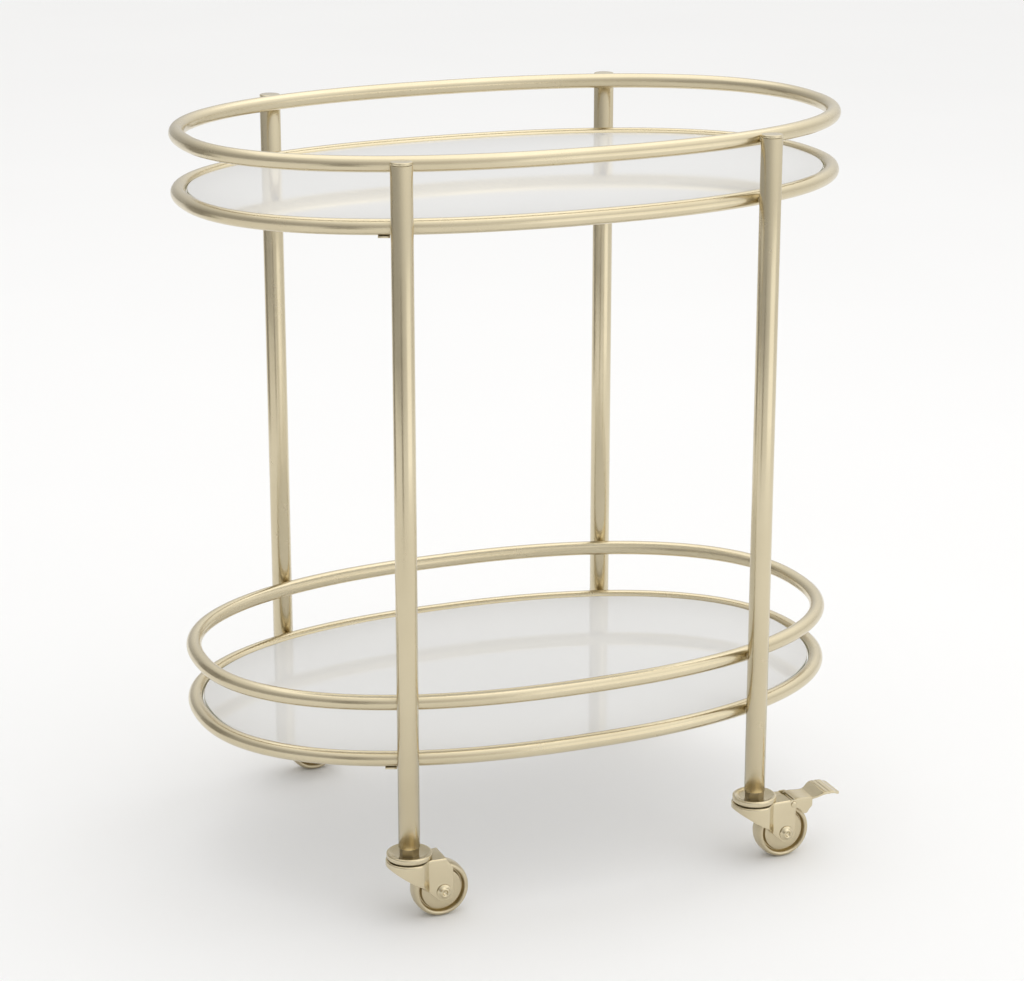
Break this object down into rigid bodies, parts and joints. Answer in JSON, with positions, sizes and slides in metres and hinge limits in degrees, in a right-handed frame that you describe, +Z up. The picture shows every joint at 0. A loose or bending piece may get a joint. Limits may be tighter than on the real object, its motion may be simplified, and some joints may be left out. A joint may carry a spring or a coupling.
{
  "type": "oval serving cart",
  "caption": "Two-tier oval bar cart with tube posts, guard rails, opaque glass shelves and swivel casters, some with foot brakes.",
  "frame": {"origin": "on the floor, under the middle of the cart", "axes": "+X along the cart's long side, towards the braked end, +Y towards its back, +Z up"},
  "size_m": [0.716, 0.4662, 0.788],
  "materials": {
    "champagne_gold": "satin champagne gold, lightly metallic",
    "white_glass": "opaque white back-painted glass, glossy",
    "clear_rubber": "clear soft bumper",
    "zinc_steel": "zinc plated",
    "black_rubber": "matt"
  },
  "bodies": {
    "cart_frame": {"upper_guard_rail": "champagne_gold", "upper_shelf_ring": "champagne_gold", "lower_guard_rail": "champagne_gold", "lower_shelf_ring": "champagne_gold", "upper_glass_shelf": "white_glass", "lower_glass_shelf": "white_glass", "front_left_post": "champagne_gold", "front_left_post_cap": "champagne_gold", "front_left_threaded_insert": "zinc_steel", "front_left_caster_stem": "champagne_gold", "upper_front_left_support_tab": "champagne_gold", "lower_front_left_support_tab": "champagne_gold", "upper_front_left_bumper": "clear_rubber", "lower_front_left_bumper": "clear_rubber", "front_right_post": "champagne_gold", "front_right_post_cap": "champagne_gold", "front_right_threaded_insert": "zinc_steel", "front_right_caster_stem": "champagne_gold", "upper_front_right_support_tab": "champagne_gold", "lower_front_right_support_tab": "champagne_gold", "upper_front_right_bumper": "clear_rubber", "lower_front_right_bumper": "clear_rubber", "rear_left_post": "champagne_gold", "rear_left_post_cap": "champagne_gold", "rear_left_threaded_insert": "zinc_steel", "rear_left_caster_stem": "champagne_gold", "upper_rear_left_support_tab": "champagne_gold", "lower_rear_left_support_tab": "champagne_gold", "upper_rear_left_bumper": "clear_rubber", "lower_rear_left_bumper": "clear_rubber", "rear_right_post": "champagne_gold", "rear_right_post_cap": "champagne_gold", "rear_right_threaded_insert": "zinc_steel", "rear_right_caster_stem": "champagne_gold", "upper_rear_right_support_tab": "champagne_gold", "lower_rear_right_support_tab": "champagne_gold", "upper_rear_right_bumper": "clear_rubber", "lower_rear_right_bumper": "clear_rubber"},
    "front_left_swivel": {"front_left_caster_fork": "champagne_gold", "front_left_ball_race": "zinc_steel", "front_left_axle": "champagne_gold"},
    "front_left_rolling_wheel": {"front_left_wheel": "champagne_gold"},
    "front_right_swivel": {"front_right_caster_fork": "champagne_gold", "front_right_ball_race": "zinc_steel", "front_right_axle": "champagne_gold", "front_right_pedal_pin": "zinc_steel"},
    "front_right_rolling_wheel": {"front_right_wheel": "champagne_gold"},
    "front_right_brake": {"front_right_brake_pedal": "champagne_gold", "front_right_brake_shoe": "black_rubber"},
    "rear_left_swivel": {"rear_left_caster_fork": "champagne_gold", "rear_left_ball_race": "zinc_steel", "rear_left_axle": "champagne_gold"},
    "rear_left_rolling_wheel": {"rear_left_wheel": "champagne_gold"},
    "rear_right_swivel": {"rear_right_caster_fork": "champagne_gold", "rear_right_ball_race": "zinc_steel", "rear_right_axle": "champagne_gold", "rear_right_pedal_pin": "zinc_steel"},
    "rear_right_rolling_wheel": {"rear_right_wheel": "champagne_gold"},
    "rear_right_brake": {"rear_right_brake_pedal": "champagne_gold", "rear_right_brake_shoe": "black_rubber"}
  },
  "joints": [
    {"name": "front_left_caster_swivel", "type": "hinge", "parent": "cart_frame", "child": "front_left_swivel", "pos_m": [-0.19611, -0.20861, 0.068], "axis": [0, 0, 1], "continuous": true},
    {"name": "front_left_wheel_spin", "type": "hinge", "parent": "front_left_swivel", "child": "front_left_rolling_wheel", "pos_m": [-0.16411, -0.20861, 0.03], "axis": [0, 1, 0], "continuous": true},
    {"name": "front_right_caster_swivel", "type": "hinge", "parent": "cart_frame", "child": "front_right_swivel", "pos_m": [0.19611, -0.20861, 0.068], "axis": [0, 0, 1], "continuous": true},
    {"name": "front_right_wheel_spin", "type": "hinge", "parent": "front_right_swivel", "child": "front_right_rolling_wheel", "pos_m": [0.22811, -0.20861, 0.03], "axis": [0, 1, 0], "continuous": true},
    {"name": "front_right_brake_press", "type": "hinge", "parent": "front_right_swivel", "child": "front_right_brake", "pos_m": [0.23631, -0.20861, 0.062], "axis": [0, 1, 0], "range_deg": [0, 15]},
    {"name": "rear_left_caster_swivel", "type": "hinge", "parent": "cart_frame", "child": "rear_left_swivel", "pos_m": [-0.19611, 0.20861, 0.068], "axis": [0, 0, 1], "continuous": true},
    {"name": "rear_left_wheel_spin", "type": "hinge", "parent": "rear_left_swivel", "child": "rear_left_rolling_wheel", "pos_m": [-0.16411, 0.20861, 0.03], "axis": [0, 1, 0], "continuous": true},
    {"name": "rear_right_caster_swivel", "type": "hinge", "parent": "cart_frame", "child": "rear_right_swivel", "pos_m": [0.19611, 0.20861, 0.068], "axis": [0, 0, 1], "continuous": true},
    {"name": "rear_right_wheel_spin", "type": "hinge", "parent": "rear_right_swivel", "child": "rear_right_rolling_wheel", "pos_m": [0.22811, 0.20861, 0.03], "axis": [0, 1, 0], "continuous": true},
    {"name": "rear_right_brake_press", "type": "hinge", "parent": "rear_right_swivel", "child": "rear_right_brake", "pos_m": [0.23631, 0.20861, 0.062], "axis": [0, 1, 0], "range_deg": [0, 15]}
  ]
}
